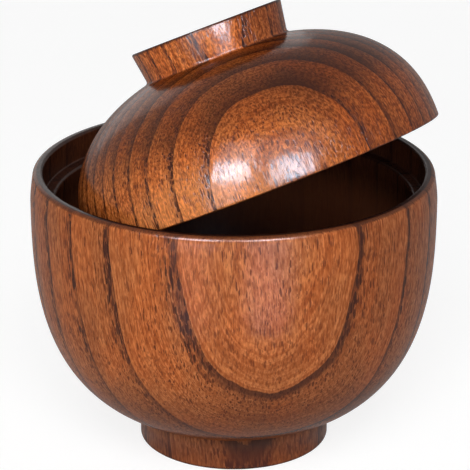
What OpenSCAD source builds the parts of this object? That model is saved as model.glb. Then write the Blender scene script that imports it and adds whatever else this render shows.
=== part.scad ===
// Turned wooden soup bowl with a domed lid propped askew in its mouth.
// Both pieces are turned from solid wood and lacquered. The foot ring is one piece with the
// bowl, and the grip ring is one piece with the lid. All sizes are in millimetres.
// Origin: centre of the foot ring's underside, on the bowl's axis, +Z up.

/* [Bowl, outside] */
// Widest outside diameter of the bowl
bowl_d = 120; // [104:1:140]
// Height of the rim above the table
bowl_h = 85.1; // [76:0.1:100]
// How far below the rim the widest line lies
belly_drop = 8.7; // [4:0.1:14]
// How far the outside draws in from the widest line up to the rim, on the radius
rim_draw_in = 0.8; // [0:0.1:2]
// Fullness of the belly curve, where 2 is an ellipse and more is squarer
belly_fullness = 2.88; // [2.3:0.02:3.6]
// Outside diameter of the foot ring
foot_d = 57; // [44:0.5:70]
// Height of the body's underside above the table
foot_h = 7.2; // [4:0.1:12]
// Radial thickness of the foot ring
foot_t = 4.2; // [2.5:0.1:7]
// Depth of the hollow under the foot ring
foot_hollow = 5.6; // [2:0.1:8]
// Rounding of the foot ring's edges
foot_edge = 0.6; // [0.2:0.1:1]

/* [Bowl, inside] */
// Thickness of the lip
lip_t = 3.2; // [2.4:0.1:5]
// Rounding of the lip's outer edge
lip_round = 1.6; // [0.4:0.1:2]
// Depth of the lid's ledge below the rim
ledge_depth = 8.1; // [5:0.1:14]
// Width of the lid's ledge
ledge_w = 3.7; // [2.5:0.1:6]
// Rounding of the lip's inner edge and of the ledge's edge
edge_round = 1; // [0.3:0.1:1.4]
// Thickness of the floor above the hollow of the foot
floor_t = 6; // [4:0.1:10]

/* [Lid] */
// Radial clearance of the lid's rim inside the mouth when the lid is level on the ledge
lid_clearance = 1.6; // [0.4:0.1:2]
// Height of the dome above the lid's rim
dome_h = 40.1; // [28:0.1:50]
// Fullness of the dome curve, where 2 is an ellipse and more is squarer
dome_fullness = 2.34; // [2:0.02:3]
// Thickness of the lid's rim
lid_rim_t = 3.2; // [2:0.1:5]
// Thickness of the lid at its crown
crown_t = 4.4; // [3:0.1:7]
// Rounding of the lid's rim
lid_edge = 0.6; // [0.2:0.1:1]
// Outside diameter of the grip ring where it leaves the dome
grip_base_d = 43.3; // [34:0.1:52]
// Outside diameter of the grip ring at its top
grip_top_d = 46.1; // [38:0.1:54]
// Height of the grip ring above the dome's crown
grip_h = 7.5; // [4:0.1:12]
// Thickness of the grip ring's wall
grip_t = 3.4; // [2.4:0.1:5]
// Depth of the hollow inside the grip ring
grip_hollow = 7.5; // [3:0.1:8]
// Rounding of the grip ring's top edges
grip_edge = 0.6; // [0.2:0.1:1]

/* [Propped lid] */
// Angle at which the lid leans in the mouth
lean = 25.8; // [18:0.1:32]
// Direction that the lid's low side points to, from +X towards +Y
lean_toward = 144.5; // [0:0.5:360]
// Gap left between the propped lid and the edges that carry it
rest_gap = 0.3; // [0.2:0.05:0.6]

/* [Hidden] */
$fn = 120;
curve_steps = 28;
arc_steps = 4;
corner_fillet = 1;
rim_curve = 1.5;
rim_steps = 6;
bowl_colour = [0.56, 0.27, 0.14];
lid_colour = [0.50, 0.23, 0.11];

// Bowl: radii and heights
bowl_r = bowl_d / 2;
belly_z = bowl_h - belly_drop;
body_depth = belly_z - foot_h;
foot_r = foot_d / 2;
foot_in_r = foot_r - foot_t;
rim_r = bowl_r - rim_draw_in;
mouth_r = rim_r - lip_t;
lip_outer_round = min(lip_round, lip_t - edge_round);
ledge_r = mouth_r - ledge_w;
ledge_z = bowl_h - ledge_depth;
floor_z = foot_hollow + floor_t;

// Lid: radii, and heights above its own rim
lid_r = mouth_r - lid_clearance;
lid_in_r = lid_r - lid_rim_t;
ceiling_z = dome_h - crown_t;
grip_base_r = grip_base_d / 2;
grip_top_r = grip_top_d / 2;
grip_in_base_r = grip_base_r - grip_t;
grip_in_top_r = grip_top_r - grip_t;
grip_top_z = dome_h + grip_h;
grip_floor_z = grip_top_z - grip_hollow;

// The propped lid's rim touches the lip's inner edge at two points and the ledge's edge at two.
// Both edges lie on spheres about one point of the bowl's axis, so the lid's rim lies on such a
// sphere too, at any lean. pivot_z is the height of that point.
lip_edge_r = mouth_r + edge_round;
lip_edge_z = bowl_h - edge_round;
ledge_edge_r = ledge_r + edge_round;
ledge_edge_z = ledge_z - edge_round;
pivot_z = (pow(lip_edge_r, 2) + pow(lip_edge_z, 2) - pow(ledge_edge_r, 2) - pow(ledge_edge_z, 2))
          / (2 * (lip_edge_z - ledge_edge_z));
edge_reach = sqrt(pow(lip_edge_r, 2) + pow(pivot_z - lip_edge_z, 2));
rim_reach = edge_reach - edge_round - rest_gap - lid_edge;
rim_below_pivot = sqrt(pow(rim_reach, 2) - pow(lid_r - lid_edge, 2)) + lid_edge;

// Point of a superellipse quarter at parameter t, from 0 on its widest line to 90 at its pole
function curve_point(radius, height, fullness, t) =
    [radius * pow(cos(t), 2 / fullness), height * pow(sin(t), 2 / fullness)];

// Parameter at which that quarter has narrowed to the given radius
function curve_angle(radius, fullness, at_radius) = acos(pow(at_radius / radius, fullness / 2));

// Points of a quarter from parameter t0 to t1, set at height z and growing up (1) or down (-1)
function curve(radius, height, fullness, z, way, t0, t1) =
    [for (i = [0:curve_steps])
        let (p = curve_point(radius, height, fullness, t0 + (t1 - t0) * i / curve_steps))
        [p[0], z + way * p[1]]];

// Points of an arc about [r, z] from angle a0 to a1
function arc(r, z, radius, a0, a1) =
    [for (i = [0:arc_steps])
        let (a = a0 + (a1 - a0) * i / arc_steps)
        [r + radius * cos(a), z + radius * sin(a)]];

// Half section of the bowl: foot, outside, lip, ledge and inside, ending on the axis
function bowl_section() = concat(
    [[0, foot_hollow]],
    arc(foot_in_r - corner_fillet, foot_hollow - corner_fillet, corner_fillet, 90, 0),
    arc(foot_in_r + foot_edge, foot_edge, foot_edge, 180, 270),
    arc(foot_r - foot_edge, foot_edge, foot_edge, 270, 360),
    curve(bowl_r, body_depth, belly_fullness, belly_z, -1,
          curve_angle(bowl_r, belly_fullness, foot_r), 0),
    [for (i = [1:rim_steps - 1])
        let (up = i / rim_steps)
        [bowl_r - rim_draw_in * pow(up, rim_curve), belly_z + (belly_drop - lip_outer_round) * up]],
    arc(rim_r - lip_outer_round, bowl_h - lip_outer_round, lip_outer_round, 0, 90),
    arc(lip_edge_r, lip_edge_z, edge_round, 90, 180),
    arc(mouth_r - corner_fillet / 2, ledge_z + corner_fillet / 2, corner_fillet / 2, 0, -90),
    arc(ledge_edge_r, ledge_edge_z, edge_round, 90, 180),
    curve(ledge_r, ledge_edge_z - floor_z, belly_fullness, ledge_edge_z, -1, 0, 90));

// Half section of the lid in its own frame: inside, rim, dome and grip ring, ending on the axis
function lid_section() = concat(
    curve(lid_in_r, ceiling_z - lid_edge, dome_fullness, lid_edge, 1, 90, 0),
    arc(lid_in_r + lid_edge, lid_edge, lid_edge, 180, 270),
    arc(lid_r - lid_edge, lid_edge, lid_edge, 270, 360),
    curve(lid_r, dome_h - lid_edge, dome_fullness, lid_edge, 1,
          0, curve_angle(lid_r, dome_fullness, grip_base_r)),
    arc(grip_top_r - grip_edge, grip_top_z - grip_edge, grip_edge, 0, 90),
    arc(grip_in_top_r + grip_edge, grip_top_z - grip_edge, grip_edge, 90, 180),
    arc(grip_in_base_r - corner_fillet, grip_floor_z + corner_fillet, corner_fillet, 0, -90),
    [[0, grip_floor_z]]);

// Turned bowl with its foot ring and the lid's ledge
module bowl() {
    color(bowl_colour)
        rotate_extrude()
            polygon(bowl_section());
}

// Turned lid with its grip ring, leaning in the bowl's mouth
module lid() {
    color(lid_colour)
        translate([0, 0, pivot_z])
            rotate([0, lean, lean_toward])
                translate([0, 0, -rim_below_pivot])
                    rotate_extrude()
                        polygon(lid_section());
}

bowl();
lid();
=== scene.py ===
# Turned and lacquered wooden soup bowl, with its lid propped askew in the mouth.
# All sizes are in metres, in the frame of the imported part: +Z up, -Y towards the viewer.
import math

import bmesh
import bpy
from mathutils import Matrix, Vector


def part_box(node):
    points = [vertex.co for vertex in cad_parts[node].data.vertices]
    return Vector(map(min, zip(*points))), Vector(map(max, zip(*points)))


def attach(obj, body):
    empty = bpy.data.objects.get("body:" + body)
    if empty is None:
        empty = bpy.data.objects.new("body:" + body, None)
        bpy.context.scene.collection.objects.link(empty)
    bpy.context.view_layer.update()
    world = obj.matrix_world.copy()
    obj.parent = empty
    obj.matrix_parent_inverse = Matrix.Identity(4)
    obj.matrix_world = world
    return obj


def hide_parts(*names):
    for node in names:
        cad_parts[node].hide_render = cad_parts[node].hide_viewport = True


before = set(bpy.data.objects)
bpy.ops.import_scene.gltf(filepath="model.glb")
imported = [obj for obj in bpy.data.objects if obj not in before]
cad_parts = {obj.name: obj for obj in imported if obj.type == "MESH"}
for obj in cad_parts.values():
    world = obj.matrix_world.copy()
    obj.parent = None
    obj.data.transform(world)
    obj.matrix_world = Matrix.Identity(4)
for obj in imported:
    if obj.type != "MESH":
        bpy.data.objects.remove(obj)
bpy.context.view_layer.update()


# Bowl
# Turned on a lathe from one block of ring-porous hardwood, with its foot ring in the same piece.
# Clear lacquer covers the grain outside. The inside is painted dark, partly as a stain and partly as painted
# # shade, and lighter lower down as painted light; the lip's top is stained brown. The foot is redder and
# darker.
# A ledge below the lip carries the lid.

bowl_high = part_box("bowl")[1]
bowl_r = bowl_high.x
bowl_h = bowl_high.z
belly_drop = 0.0087
belly_fullness = 2.88
rim_draw_in = 0.0008
rim_curve = 1.5
foot_r = 0.0285
foot_h = 0.0072
foot_t = 0.0042
foot_hollow = 0.0056
foot_edge = 0.0006
lip_t = 0.0032
lip_round = 0.0016
ledge_w = 0.0037
ledge_depth = 0.0081
edge_round = 0.0010
corner_fillet = 0.0010
floor_t = 0.0060

belly_z = bowl_h - belly_drop
foot_in_r = foot_r - foot_t
rim_r = bowl_r - rim_draw_in
mouth_r = rim_r - lip_t
ledge_r = mouth_r - ledge_w
ledge_z = bowl_h - ledge_depth
ledge_edge_z = ledge_z - edge_round
floor_z = foot_hollow + floor_t


def turned_curve(radius, height, fullness, z, way, start, end, steps=90):
    """Points of a superellipse quarter, from 0 degrees on its widest line to 90 at its pole.
    It grows up from z where way is 1, and down where way is -1."""
    points = []
    for i in range(steps + 1):
        t = math.radians(start + (end - start) * i / steps)
        out = max(math.cos(t), 0.0) ** (2 / fullness)
        up = max(math.sin(t), 0.0) ** (2 / fullness)
        points.append((radius * out, z + way * height * up))
    return points


def curve_angle(radius, fullness, at_radius):
    """Angle at which such a quarter has narrowed to the given radius, in degrees."""
    return math.degrees(math.acos((at_radius / radius) ** (fullness / 2)))


def edge_arc(r, z, radius, start, end, steps=8):
    """Points of a rounded edge or corner about (r, z), between two angles in degrees."""
    points = []
    for i in range(steps + 1):
        angle = math.radians(start + (end - start) * i / steps)
        points.append((r + radius * math.cos(angle), z + radius * math.sin(angle)))
    return points


def lathe_turned(name, section, place=Matrix.Identity(4), turns=192):
    """A piece turned on the lathe: its half section spun about the upright axis, then set in place."""
    bm = bmesh.new()
    outline = [bm.verts.new((r, 0, z)) for r, z in section]
    edges = [bm.edges.new(pair) for pair in zip(outline, outline[1:])]
    bmesh.ops.spin(bm, geom=outline + edges, cent=(0, 0, 0), axis=(0, 0, 1), dvec=(0, 0, 0),
                   angle=math.tau, steps=turns, use_merge=True)
    bmesh.ops.remove_doubles(bm, verts=bm.verts, dist=1e-6)
    bmesh.ops.recalc_face_normals(bm, faces=bm.faces)
    bmesh.ops.transform(bm, matrix=place, verts=bm.verts)
    mesh = bpy.data.meshes.new(name)
    bm.to_mesh(mesh)
    bm.free()
    mesh.shade_smooth()
    piece = bpy.data.objects.new(name, mesh)
    bpy.context.scene.collection.objects.link(piece)
    return piece


rim_rise = belly_drop - lip_round
rim_steps = 12
rim_wall = []
for i in range(1, rim_steps):
    up = i / rim_steps
    rim_wall.append((bowl_r - rim_draw_in * up ** rim_curve, belly_z + rim_rise * up))

bowl_section = (
    [(0, foot_hollow)]
    + edge_arc(foot_in_r - corner_fillet, foot_hollow - corner_fillet, corner_fillet, 90, 0)
    + edge_arc(foot_in_r + foot_edge, foot_edge, foot_edge, 180, 270)
    + edge_arc(foot_r - foot_edge, foot_edge, foot_edge, 270, 360)
    + turned_curve(bowl_r, belly_z - foot_h, belly_fullness, belly_z, -1,
                   curve_angle(bowl_r, belly_fullness, foot_r), 0)
    + rim_wall
    + edge_arc(rim_r - lip_round, bowl_h - lip_round, lip_round, 0, 90, steps=16)
    + edge_arc(mouth_r + edge_round, bowl_h - edge_round, edge_round, 90, 180)
    + edge_arc(mouth_r - corner_fillet / 2, ledge_z + corner_fillet / 2, corner_fillet / 2, 0, -90)
    + edge_arc(ledge_r + edge_round, ledge_edge_z, edge_round, 90, 180)
    + turned_curve(ledge_r, ledge_edge_z - floor_z, belly_fullness, ledge_edge_z, -1, 0, 90)
)
bowl = lathe_turned("turned_bowl", bowl_section)


def grain_frame(at, along):
    """Place of a tree's heart: a point on it, in metres, with its Z along the grain."""
    return Matrix.Translation(at) @ Vector(along).to_track_quat("Z", "Y").to_matrix().to_4x4()


class LacqueredWood:
    """Ring-porous wood under clear lacquer. Its patterns lie in the tree that the block was cut from, in
    millimetres from the tree's heart. How fine a pattern is, is given as its count per mm across and
    along the grain."""

    def __init__(self, name, heart):
        """Starts the material with the tree's own frame, and with slow waves in the grain."""
        self.material = bpy.data.materials.new(name)
        self.material.use_nodes = True
        self.nodes = self.material.node_tree.nodes
        self.shader = self.nodes["Principled BSDF"]
        place = self.nodes.new("ShaderNodeTexCoord")
        self.spot = place.outputs["Object"]
        self.facing = place.outputs["Normal"]
        in_tree = self.nodes.new("ShaderNodeMapping")
        in_tree.vector_type = "TEXTURE"
        in_tree.inputs["Location"].default_value = heart.to_translation()
        in_tree.inputs["Rotation"].default_value = heart.to_euler()
        millimetre = 0.001
        in_tree.inputs["Scale"].default_value = (millimetre, millimetre, millimetre)
        self.join(self.spot, in_tree.inputs["Vector"])
        wave_reach = (3.2, 3.2, 0.0)
        self.grain = self.shifted(in_tree.outputs["Vector"], 0.05, 0.016, wave_reach)
        end_grain = self.vector_reckon("DOT_PRODUCT", self.facing, heart.to_3x3() @ Vector((0, 0, 1)))
        self.cut_across = self.fade(self.reckon("ABSOLUTE", end_grain), 0.1, 0.9)

    def join(self, value, socket):
        """Links a node's output to the socket, or sets the socket to a plain value."""
        if isinstance(value, bpy.types.NodeSocket):
            self.material.node_tree.links.new(value, socket)
        else:
            socket.default_value = value

    def reckon(self, operation, *values):
        """A sum on numbers."""
        node = self.nodes.new("ShaderNodeMath")
        node.operation = operation
        for value, socket in zip(values, node.inputs):
            self.join(value, socket)
        return node.outputs[0]

    def vector_reckon(self, operation, *values):
        """A sum on places or directions."""
        node = self.nodes.new("ShaderNodeVectorMath")
        node.operation = operation
        for value, socket in zip(values, node.inputs):
            self.join(value, socket)
        return node.outputs["Value" if operation in ("LENGTH", "DOT_PRODUCT") else "Vector"]

    def noise(self, where, across, along, detail=2, output="Fac"):
        """Cloudy patches."""
        node = self.nodes.new("ShaderNodeTexNoise")
        node.inputs["Scale"].default_value = 1.0
        node.inputs["Detail"].default_value = detail
        self.join(self.vector_reckon("MULTIPLY", where, (across, across, along)), node.inputs["Vector"])
        return node.outputs[output]

    def shifted(self, where, across, along, reach):
        """Places pushed about by cloudy patches, by half of reach at most, in mm."""
        cloud = self.noise(where, across, along, output="Color")
        push = self.vector_reckon("SUBTRACT", cloud, (0.5, 0.5, 0.5))
        return self.vector_reckon("MULTIPLY_ADD", push, reach, where)

    def fade(self, value, low, high, to_low=0.0, to_high=1.0):
        """A soft step from to_low, where the value is low, to to_high, where it is high."""
        node = self.nodes.new("ShaderNodeMapRange")
        node.interpolation_type = "SMOOTHSTEP"
        for given, socket in zip((value, low, high, to_low, to_high), node.inputs):
            self.join(given, socket)
        return node.outputs[0]

    def tint(self, amount, first, second, blend="MIX"):
        """The first colour, with the second laid over it by the amount."""
        node = self.nodes.new("ShaderNodeMix")
        node.data_type = "RGBA"
        node.blend_type = blend
        self.join(amount, node.inputs["Factor"])
        self.join(first, node.inputs["A"])
        self.join(second, node.inputs["B"])
        return node.outputs["Result"]

    def depth_under(self, at, normal):
        """How far the surface lies under a plane, in metres."""
        return self.vector_reckon("DOT_PRODUCT", self.vector_reckon("SUBTRACT", at, self.spot), normal)

    def grow_rings(self, first_ring, ring_area, ring_shade, side_narrowing):
        """A slightly ragged dark line where each year begins, then paler wood. One ring lies first_ring mm
        from the heart, and each year adds ring_area square mm to the radius squared. ring_shade says how
        dark the wood is through a year, as pairs of the year's part and the darkness, and side_narrowing
        draws that in where the cut runs along the grain."""
        year_width = ring_area / (2 * first_ring)
        raggedness = 0.02 * year_width
        rag = self.reckon("SUBTRACT", self.noise(self.grain, 0.9, 0.14, detail=3), 0.5)
        from_heart = self.vector_reckon("LENGTH", self.vector_reckon("MULTIPLY", self.grain, (1, 1, 0)))
        self.radius = self.reckon("MULTIPLY_ADD", rag, raggedness, from_heart)
        growth = self.reckon("SUBTRACT", self.reckon("POWER", self.radius, 2), first_ring ** 2)
        years = self.reckon("DIVIDE", growth, ring_area)
        self.year_part = self.reckon("FRACT", years)

        shade = self.nodes.new("ShaderNodeFloatCurve")
        shade_curve = shade.mapping.curves[0]
        shade_curve.points[0].location = ring_shade[0]
        shade_curve.points[1].location = ring_shade[-1]
        for part, darkness in ring_shade[1:-1]:
            shade_curve.points.new(part, darkness)
        shade.mapping.update()
        self.join(self.year_part, shade.inputs["Value"])
        narrowing = self.fade(self.cut_across, 0.05, 0.75, side_narrowing, 1.0)
        early = self.reckon("POWER", shade.outputs[0], narrowing)

        # Some years and patches are fainter, and the left of the piece has broader, fainter ring starts
        year = self.nodes.new("ShaderNodeTexWhiteNoise")
        year.noise_dimensions = "1D"
        self.join(self.reckon("FLOOR", years), year.inputs["W"])
        self.patches = self.noise(self.grain, 0.09, 0.03)
        sides = self.nodes.new("ShaderNodeSeparateXYZ")
        self.join(self.spot, sides.inputs[0])
        broad_left = -0.03
        narrow_right = 0.025
        broad = self.fade(sides.outputs["X"], broad_left, narrow_right, 1.0, 0.0)
        for strength in (self.fade(year.outputs["Value"], 0.0, 1.0, 0.85, 1.0),
                         self.fade(self.patches, 0.3, 0.6, 0.88, 1.0),
                         self.fade(broad, 0.0, 1.0, 1.0, 0.7)):
            early = self.reckon("MULTIPLY", early, strength)
        self.early = early
        start_width = self.fade(broad, 0.0, 1.0, 0.16, 0.32)
        self.ring_start = self.fade(self.year_part, 0.04, start_width, 1.0, 0.0)

    def pore_dashes(self, across, along, crowding, width):
        """Dashes along the grain, 1 in a pore and 0 beside it. crowding is the share of cells with one."""
        cells = self.nodes.new("ShaderNodeTexVoronoi")
        cells.inputs["Scale"].default_value = 1.0
        in_cells = self.vector_reckon("MULTIPLY", self.crooked, (across, across, along))
        self.join(in_cells, cells.inputs["Vector"])
        draw = self.nodes.new("ShaderNodeSeparateColor")
        self.join(cells.outputs["Color"], draw.inputs["Color"])
        is_there = self.fade(draw.outputs["Red"], self.reckon("SUBTRACT", crowding, 0.04), crowding, 1.0, 0.0)
        depth = self.reckon("MULTIPLY", is_there, self.fade(draw.outputs["Blue"], 0.0, 0.7, 0.4, 1.0))
        width = self.reckon("MULTIPLY_ADD", draw.outputs["Green"], 0.12, width)
        soft_edge = self.reckon("SUBTRACT", width, 0.13)
        dash = self.fade(cells.outputs["Distance"], soft_edge, width, 1.0, 0.0)
        return self.reckon("MULTIPLY", dash, depth)

    def open_pores(self, pore_reach, pore_length):
        """Dashes in the whole wood, finer ones between, and rows of dark pores where a year starts, which
        are pore_length mm long. The rows fade, and the ring lines close up, where the wood is cut across
        the grain by more than pore_reach, from 0 for along it to 1 for end grain."""
        sway_reach = (0.7, 0.7, 2.0)
        self.crooked = self.shifted(self.grain, 1.3, 0.3, sway_reach)
        porous = self.fade(self.year_part, 0.0, 0.5, 1.0, 0.0)
        clusters = self.fade(self.noise(self.grain, 0.3, 0.06), 0.35, 0.65, -0.25, 0.25)
        crowding = self.reckon("ADD", self.fade(porous, 0.0, 0.8, 0.72, 1.0), clusters)
        coarse = self.pore_dashes(1.5, 0.18, crowding, self.fade(porous, 0.2, 1.0, 0.34, 0.44))
        fine = self.pore_dashes(2.4, 0.45, crowding, 0.36)
        dashes = self.reckon("MAXIMUM", coarse, self.reckon("MULTIPLY", fine, 0.7))
        self.dashes = self.reckon("MULTIPLY", dashes, self.fade(self.year_part, 0.55, 0.9, 1.0, 0.65))

        every_cell = 1.1
        row_width = self.fade(self.ring_start, 0.0, 1.0, -0.10, 0.60)
        rows = self.pore_dashes(1.4, 1 / pore_length, every_cell, row_width)
        reach_start = pore_reach - 0.25
        row_depth = self.fade(self.cut_across, reach_start, pore_reach, 1.0, 0.15)
        self.ring_pores = self.reckon("MULTIPLY", rows, row_depth)
        self.mottle = self.noise(self.crooked, 1.4, 1.8 / pore_length, detail=3)
        least_line = self.fade(self.cut_across, reach_start, pore_reach, 0.55, 0.95)
        self.broken = self.fade(self.mottle, 0.3, 0.65, 1.0, least_line)

    def colour(self, light, dark, figure, tones):
        """The wood's colours, laid over one another: light wood with tan patches, the figure's mottling,
        fibres and fine bands, broad tones, pores, dark year starts, and greyer end grain. Each tone has
        the direction that it grows in, where it starts and ends in that direction, its strength, its
        colour and how it is blended. The tones that the pieces give are painted shade and painted light."""
        tan_share = (0.9, 1.0, 1.15, 1)
        fibre_shade = (0.62, 0.50, 0.40, 1)
        band_shade = (0.66, 0.53, 0.42, 1)
        pore_red = (0.110, 0.023, 0.007, 1)
        ring_pore_brown = (0.036, 0.010, 0.006, 1)
        end_grain_grey = (0.38, 0.33, 0.28, 1)

        tan = [part * share for part, share in zip(light, tan_share)]
        wood = self.tint(self.fade(self.patches, 0.38, 0.62), light, tan)
        wood = self.tint(self.fade(self.mottle, 0.34, 0.66, 0.0, 0.8), wood, figure, "MULTIPLY")
        self.fibre = self.noise(self.grain, 2.6, 0.07, detail=3)
        fibre_depth = self.reckon("MULTIPLY", self.fade(self.fibre, 0.35, 0.7, 0.0, 0.75),
                                  self.fade(self.cut_across, 0.05, 0.3, 1.0, 0.4))
        wood = self.tint(fibre_depth, wood, fibre_shade, "MULTIPLY")
        in_grain = self.nodes.new("ShaderNodeSeparateXYZ")
        self.join(self.grain, in_grain.inputs[0])
        in_ring = self.nodes.new("ShaderNodeCombineXYZ")
        self.join(self.radius, in_ring.inputs["X"])
        self.join(in_grain.outputs["Z"], in_ring.inputs["Z"])
        bands = self.noise(in_ring.outputs[0], 3.0, 0.04)
        wood = self.tint(self.fade(bands, 0.4, 0.62, 0.0, 0.8), wood, band_shade, "MULTIPLY")
        for side, start, end, strength, tone, blend in tones:
            reach = self.vector_reckon("DOT_PRODUCT", self.spot, side)
            wood = self.tint(self.fade(reach, start, end, 0.0, strength), wood, tone, blend)

        pore_depth = self.reckon("MULTIPLY", self.dashes, self.fade(self.cut_across, 0.3, 0.8, 0.92, 0.8))
        wood = self.tint(pore_depth, wood, pore_red)
        wood = self.tint(self.reckon("MULTIPLY", self.early, self.broken), wood, dark)
        wood = self.tint(self.reckon("MULTIPLY", self.ring_pores, 0.9), wood, ring_pore_brown)
        greyness = self.fade(self.cut_across, 0.0, 1.0, 0.0, 0.9)
        self.wood = self.tint(greyness, wood, end_grain_grey, "MULTIPLY")

    def stain_wear_and_shade(self, hollow, lip, stand):
        """Dark colour on the wood that faces the point hollow: partly a stain, partly painted shade, and
        lighter with depth under the lip as painted light. A brown stain on the lip's top. lip is a point and
        the normal of its plane. stand is the same for the face that the piece stands on, with the height that
        is reddened and darkened above it, on the bowl's foot partly as painted shade. That face's edge is
        dark with use, and on the foot as a painted contact shadow."""
        inside_top_stain_and_shade = (0.020, 0.007, 0.005, 1)
        inside_deep_painted_light = (0.170, 0.056, 0.027, 1)
        lip_brown = (0.10, 0.032, 0.016, 1)
        stand_red_and_shade = (0.09, 0.017, 0.008, 1)
        worn_and_shaded_black = (0.012, 0.006, 0.004, 1)
        stain_and_shade_start = 0.0078
        stain_and_shade_full = 0.0095

        under_lip = self.depth_under(*lip)
        stand_at, stand_normal, red_height = stand
        over_stand = self.depth_under(stand_at, stand_normal)
        # Stain and painted shade: wood that faces the hollow turns near black, lighter lower down as painted
        # light
        outward = self.vector_reckon("DOT_PRODUCT", self.facing,
                                     self.vector_reckon("SUBTRACT", self.spot, hollow))
        faces_in = self.fade(outward, 0.004, 0.018, 0.92, 0.0)
        stained_and_shaded = self.reckon("MULTIPLY", faces_in, self.fade(over_stand, stain_and_shade_start, stain_and_shade_full))
        inside = self.tint(self.fade(under_lip, 0.012, 0.028), inside_top_stain_and_shade, inside_deep_painted_light)

        wood = self.tint(self.fade(under_lip, 0.0002, 0.0010, 0.55, 0.0), self.wood, lip_brown)
        wood = self.tint(stained_and_shaded, wood, inside)
        # Colour and painted shade: above the standing face the wood is redder and darker, on the bowl the
        # whole foot
        redness_and_shade = self.fade(over_stand, 0.6 * red_height, 1.2 * red_height, 0.5, 0.0)
        wood = self.tint(redness_and_shade, wood, stand_red_and_shade)
        # Wear and painted shadow: the standing face's edge is near black, on the foot as its contact shadow
        self.wood = self.tint(self.fade(over_stand, 0.0002, 0.0010, 0.6, 0.0), wood, worn_and_shaded_black)

    def lacquer(self, coat_roughness, sunken):
        """A thin clear coat that isn't quite even and sinks into the pores. sunken scales how deep, in
        metres."""
        self.join(self.wood, self.shader.inputs["Base Color"])
        self.shader.inputs["Roughness"].default_value = 0.55
        self.shader.inputs["Specular IOR Level"].default_value = 0.0
        self.shader.inputs["Coat Weight"].default_value = 0.25
        self.shader.inputs["Coat Roughness"].default_value = coat_roughness
        self.shader.inputs["Coat IOR"].default_value = 1.5
        pores = self.reckon("MULTIPLY", self.reckon("MAXIMUM", self.dashes, self.ring_pores), 0.6)
        sink = self.reckon("MULTIPLY_ADD", self.fibre, 0.3, pores)
        sink = self.reckon("MULTIPLY_ADD", self.noise(self.grain, 0.4, 0.16), 1.6, sink)
        surface = self.nodes.new("ShaderNodeBump")
        surface.invert = True
        surface.inputs["Strength"].default_value = 0.75
        surface.inputs["Distance"].default_value = sunken
        self.join(sink, surface.inputs["Height"])
        for normal in ("Normal", "Coat Normal"):
            self.join(surface.outputs["Normal"], self.shader.inputs[normal])


bowl_heart = grain_frame((0.0396, -0.2013, 0), (-0.058, 0.076, 1))
bowl_hollow = (0, 0, 0.0895)
# Painted shade: the bowl's colour grows darker towards its right side, away from the light
right_painted_shade = ((1, 0, 0), 0.02, 0.034, 1.0, (0.88, 0.86, 0.86, 1), "MULTIPLY")

bowl_wood = LacqueredWood("bowl_lacquered_wood", bowl_heart)
bowl_wood.grow_rings(
    first_ring=145.85, ring_area=4720, side_narrowing=1.6,
    ring_shade=[(0, 1), (0.035, 0.96), (0.065, 0.7), (0.11, 0.4), (0.3, 0.23), (0.6, 0.1), (0.975, 0),
                (1, 0.9)])
bowl_wood.open_pores(pore_reach=0.27, pore_length=4.5)
bowl_wood.colour(light=(0.74, 0.228, 0.064, 1), dark=(0.062, 0.017, 0.008, 1),
                 figure=(0.56, 0.44, 0.34, 1), tones=[right_painted_shade])
bowl_wood.stain_wear_and_shade(hollow=bowl_hollow, lip=((0, 0, bowl_h), (0, 0, 1)),
                stand=((0, 0, 0), (0, 0, -1), foot_h))
bowl_wood.lacquer(coat_roughness=0.20, sunken=0.00005)
bowl.data.materials.append(bowl_wood.material)
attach(bowl, "bowl")
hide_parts("bowl")


# Lid
# Turned from a second block of the same wood, with its grip ring in the same piece, and lacquered alike.
# It isn't fixed: its rim rests on the bowl's lip and on the ledge, leaning towards the back left.

lid_clearance = 0.0016
lid_rim_t = 0.0032
lid_edge = 0.0006
dome_h = 0.0401
dome_fullness = 2.34
crown_t = 0.0044
grip_base_r = 0.02165
grip_top_r = 0.02305
grip_h = 0.0075
grip_t = 0.0034
grip_hollow = 0.0075
grip_edge = 0.0006
grip_fillet = 0.0010
lean = math.radians(25.8)
lean_toward = math.radians(144.5)
rest_gap = 0.0003

lid_r = mouth_r - lid_clearance
lid_in_r = lid_r - lid_rim_t
ceiling_z = dome_h - crown_t
grip_in_base_r = grip_base_r - grip_t
grip_in_top_r = grip_top_r - grip_t
grip_top_z = dome_h + grip_h
grip_floor_z = grip_top_z - grip_hollow

# The lip's inner edge and the ledge's edge lie on spheres about one point of the bowl's axis, and so
# does the rim that rests on both
lip_edge = Vector((mouth_r + edge_round, bowl_h - edge_round))
ledge_edge = Vector((ledge_r + edge_round, ledge_edge_z))
pivot_z = (lip_edge.length_squared - ledge_edge.length_squared) / (2 * (lip_edge.y - ledge_edge.y))
edge_reach = math.hypot(lip_edge.x, pivot_z - lip_edge.y)
rim_reach = edge_reach - edge_round - rest_gap - lid_edge
rim_below_pivot = math.sqrt(rim_reach ** 2 - (lid_r - lid_edge) ** 2) + lid_edge
lid_place = (
    Matrix.Translation((0, 0, pivot_z))
    @ Matrix.Rotation(lean_toward, 4, "Z")
    @ Matrix.Rotation(lean, 4, "Y")
    @ Matrix.Translation((0, 0, -rim_below_pivot))
)


def eased_corner(before, corner, after, reach, steps=8):
    """Points that round an inside corner off, from reach before it to reach after it."""
    middle = Vector(corner)
    start = middle + (Vector(before) - middle).normalized() * reach
    end = middle + (Vector(after) - middle).normalized() * reach
    points = []
    for i in range(steps + 1):
        t = i / steps
        points.append(tuple(start * (1 - t) ** 2 + middle * 2 * t * (1 - t) + end * t ** 2))
    return points


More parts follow.
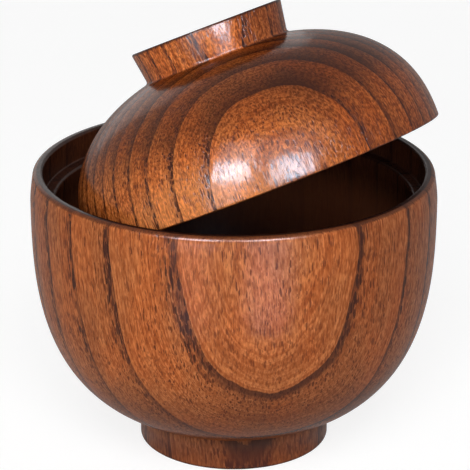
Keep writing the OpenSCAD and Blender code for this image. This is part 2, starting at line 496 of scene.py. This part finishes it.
# The dome ends at the fillet, and its last slope runs on to the corner under the grip ring
dome = turned_curve(lid_r, dome_h - lid_edge, dome_fullness, lid_edge, 1,
                    0, curve_angle(lid_r, dome_fullness, grip_base_r + grip_fillet))
dome_end = dome[-1]
dome_slope = (dome_end[1] - dome[-2][1]) / (dome[-2][0] - dome_end[0])
grip_corner = (grip_base_r, dome_end[1] + grip_fillet * dome_slope)
lid_section = (
    turned_curve(lid_in_r, ceiling_z - lid_edge, dome_fullness, lid_edge, 1, 90, 0)
    + edge_arc(lid_in_r + lid_edge, lid_edge, lid_edge, 180, 270)
    + edge_arc(lid_r - lid_edge, lid_edge, lid_edge, 270, 360)
    + dome
    + eased_corner(dome_end, grip_corner, (grip_top_r, grip_top_z - grip_edge), grip_fillet)
    + edge_arc(grip_top_r - grip_edge, grip_top_z - grip_edge, grip_edge, 0, 90)
    + edge_arc(grip_in_top_r + grip_edge, grip_top_z - grip_edge, grip_edge, 90, 180)
    + edge_arc(grip_in_base_r - corner_fillet, grip_floor_z + corner_fillet, corner_fillet, 0, -90)
    + [(0, grip_floor_z)]
)
lid = lathe_turned("turned_lid", lid_section, lid_place)

# The lid's upright frame has its own X and Y along the room's, so the lean's turn is taken back.
# The lid's rim isn't stained as a lip, so that plane lies clear of it
lid_upright = lid_place @ Matrix.Rotation(-lean_toward, 4, "Z")
lid_up = lid_place.to_3x3() @ Vector((0, 0, 1))
lid_heart = lid_upright @ grain_frame((0.0196, -0.0871, 0), (0.022, -0.053, 1))
lid_hollow = lid_upright @ Vector((0, 0, 0.002))
clear_of_rim = lid_place @ Vector((0, 0, -0.01))
grip_top = lid_place @ Vector((0, 0, grip_top_z))
grip_red_height = 0.0008
# Painted shade: the lid's colour grows darker towards its upper right and crown
crown_painted_shade = ((1, 0, 1.2), 0.153, 0.167, 1.0, (0.64, 0.58, 0.56, 1), "MULTIPLY")
# Painted light: the lid's lower front is paler and redder, standing for low light and the left window's sheen
front_painted_light = ((-0.1, -1, -0.35), 0.0145, 0.0225, 0.25, (1.0, 0.40, 0.13, 1), "MIX")

lid_wood = LacqueredWood("lid_lacquered_wood", lid_heart)
lid_wood.grow_rings(
    first_ring=45.7, ring_area=945, side_narrowing=4.5,
    ring_shade=[(0, 1), (0.05, 0.95), (0.15, 0.82), (0.35, 0.6), (0.6, 0.2), (0.75, 0), (0.96, 0), (1, 0.9)])
lid_wood.open_pores(pore_reach=0.75, pore_length=1.8)
lid_wood.colour(light=(0.95, 0.272, 0.060, 1), dark=(0.074, 0.020, 0.009, 1),
                figure=(0.26, 0.17, 0.11, 1), tones=[crown_painted_shade, front_painted_light])
lid_wood.stain_wear_and_shade(hollow=lid_hollow, lip=(clear_of_rim, -lid_up), stand=(grip_top, lid_up, grip_red_height))
lid_wood.lacquer(coat_roughness=0.15, sunken=0.00008)
lid.data.materials.append(lid_wood.material)
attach(lid, "lid")
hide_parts("lid")


# Table and room
# A wide matt table top, which shows white to the eye and in the lacquer, with the bowl's soft shadow.
# The light is soft and comes mostly from the front. Neither is part of the bowl.

table_half = 6.0
bm = bmesh.new()
bmesh.ops.create_grid(bm, x_segments=1, y_segments=1, size=table_half)
table_mesh = bpy.data.meshes.new("table_top")
bm.to_mesh(table_mesh)
bm.free()
table = bpy.data.objects.new("table_top", table_mesh)
bpy.context.scene.collection.objects.link(table)
table.visible_shadow = False


def seen_directly(nodes, link):
    """1 for rays from the camera and in reflections, 0 for the light that falls on the bowl."""
    path = nodes.new("ShaderNodeLightPath")
    seen = path.outputs["Is Camera Ray"]
    for ray in ("Is Glossy Ray", "Is Transmission Ray"):
        either = nodes.new("ShaderNodeMath")
        either.operation = "MAXIMUM"
        link(seen, either.inputs[0])
        link(path.outputs[ray], either.inputs[1])
        seen = either.outputs[0]
    return seen


def two_strengths(nodes, link, unseen, seen):
    """A strength with two values: one for the light that is given, one for how it looks."""
    node = nodes.new("ShaderNodeMapRange")
    node.inputs["To Min"].default_value = unseen
    node.inputs["To Max"].default_value = seen
    link(seen_directly(nodes, link), node.inputs["Value"])
    return node.outputs[0]


table_paint = bpy.data.materials.new("matt_white_table")
table_paint.use_nodes = True
table_paint.cycles.emission_sampling = "NONE"
paint_nodes = table_paint.node_tree.nodes
paint_link = table_paint.node_tree.links.new
paint = paint_nodes["Principled BSDF"]
paint_link(two_strengths(paint_nodes, paint_link, unseen=0.4, seen=0.3), paint.inputs["Base Color"])
paint.inputs["Roughness"].default_value = 0.9
paint.inputs["Specular IOR Level"].default_value = 0.0
paint.inputs["Emission Color"].default_value = (1, 1, 1, 1)
paint_link(two_strengths(paint_nodes, paint_link, unseen=0.0, seen=0.82), paint.inputs["Emission Strength"])
table_mesh.materials.append(table_paint)

room = bpy.data.worlds.new("room")
bpy.context.scene.world = room
room.use_nodes = True
room.cycles.sampling_method = "NONE"
room_nodes = room.node_tree.nodes
room_link = room.node_tree.links.new
backdrop = room_nodes["Background"]
backdrop.inputs["Color"].default_value = (1, 1, 1, 1)
room_link(two_strengths(room_nodes, room_link, unseen=0.03, seen=1.0), backdrop.inputs["Strength"])

lit_point = Vector((0, 0, 0.08))


def soft_box(name, azimuth, elevation, distance, width, height, power, colour=(1, 1, 1)):
    """A rectangular studio lamp that faces the bowl. azimuth 0 is the viewer's side, 90 the right."""
    lamp = bpy.data.lights.new(name, "AREA")
    lamp.shape = "RECTANGLE"
    lamp.size = width
    lamp.size_y = height
    lamp.energy = power
    lamp.color = colour
    stand = bpy.data.objects.new(name, lamp)
    a = math.radians(azimuth)
    e = math.radians(elevation)
    toward = Vector((math.sin(a) * math.cos(e), -math.cos(a) * math.cos(e), math.sin(e)))
    stand.location = lit_point + toward * distance
    stand.rotation_euler = toward.to_track_quat("Z", "Y").to_euler()
    bpy.context.scene.collection.objects.link(stand)
    return stand


def power_for(brightness, width, height):
    """Power in watts of a lamp of that size that looks as bright as asked."""
    return brightness * math.pi * width * height


# Lamps that light the wood and don't show in the lacquer. The low one shines up through the table top,
# which casts no shadow
lamp_distance = 1.8
for name, azimuth, elevation, width, height, power in (
        ("front_light", 0, 40, 1.0, 0.8, 22),
        ("mid_light", -8, 12, 1.0, 0.5, 12),
        ("low_light", -2, -25, 1.0, 0.6, 5),
        ("back_light", 180, 6, 1.2, 0.6, 9),
        ("right_light", 140, 15, 0.8, 0.8, 2),
        ("left_light", -140, 15, 0.8, 0.8, 0.6)):
    soft_box(name, azimuth, elevation, lamp_distance, width, height, power).visible_glossy = False

# Two windows that show in the lacquer and don't light the wood. Each has a bright pane, a fainter glow
# round and above it, a sill, and its shine in the table top. Parts run between two elevations in degrees
window_distance = 1.4
daylight = (0.66, 0.82, 1)
for side, azimuth, across, glow, table_shine in (("left", -21, 20, 14, 2.5), ("right", 19, 22, 7, 6)):
    for part, low, high, spread, brightness in (
            ("glow", 13, 48, 1.25, glow),
            ("pane", 16, 31, 1.0, 84),
            ("sill", -4, 13, 1.0, 14),
            ("in_table", -32, -4, 1.0, table_shine)):
        width = 2 * window_distance * math.tan(math.radians(across * spread / 2))
        height = 2 * window_distance * math.tan(math.radians((high - low) / 2))
        window = soft_box("window_" + side + "_" + part, azimuth, (low + high) / 2, window_distance,
                          width, height, power_for(brightness, width, height), daylight)
        window.visible_diffuse = False
        window.data.cycles.use_multiple_importance_sampling = high > 0

# A bright wall behind, at the left, that shows along the lid's edge
wall_width = 1.0
wall_height = 1.2
wall_power = power_for(1.7, wall_width, wall_height)
wall = soft_box("left_wall", -162, 8, window_distance, wall_width, wall_height, wall_power)
wall.visible_diffuse = False


# Camera
# A long lens, in front of the bowl and a little above it, as the photograph was taken.
# It stands still, and everything is sharp.

camera_lens = bpy.data.cameras.new("camera")
camera_lens.sensor_width = 36
camera_lens.lens = 180.2
camera = bpy.data.objects.new("camera", camera_lens)
aim = Vector((0.00034, 0, 0.06355))
camera_elevation = math.radians(20.73)
camera_distance = 0.700
from_aim = Vector((0, -math.cos(camera_elevation), math.sin(camera_elevation)))
camera.location = aim + from_aim * camera_distance
camera.rotation_euler = from_aim.to_track_quat("Z", "Y").to_euler()
bpy.context.scene.collection.objects.link(camera)
bpy.context.scene.camera = camera
bpy.context.scene.view_settings.view_transform = "Standard"

bpy.context.view_layer.update()
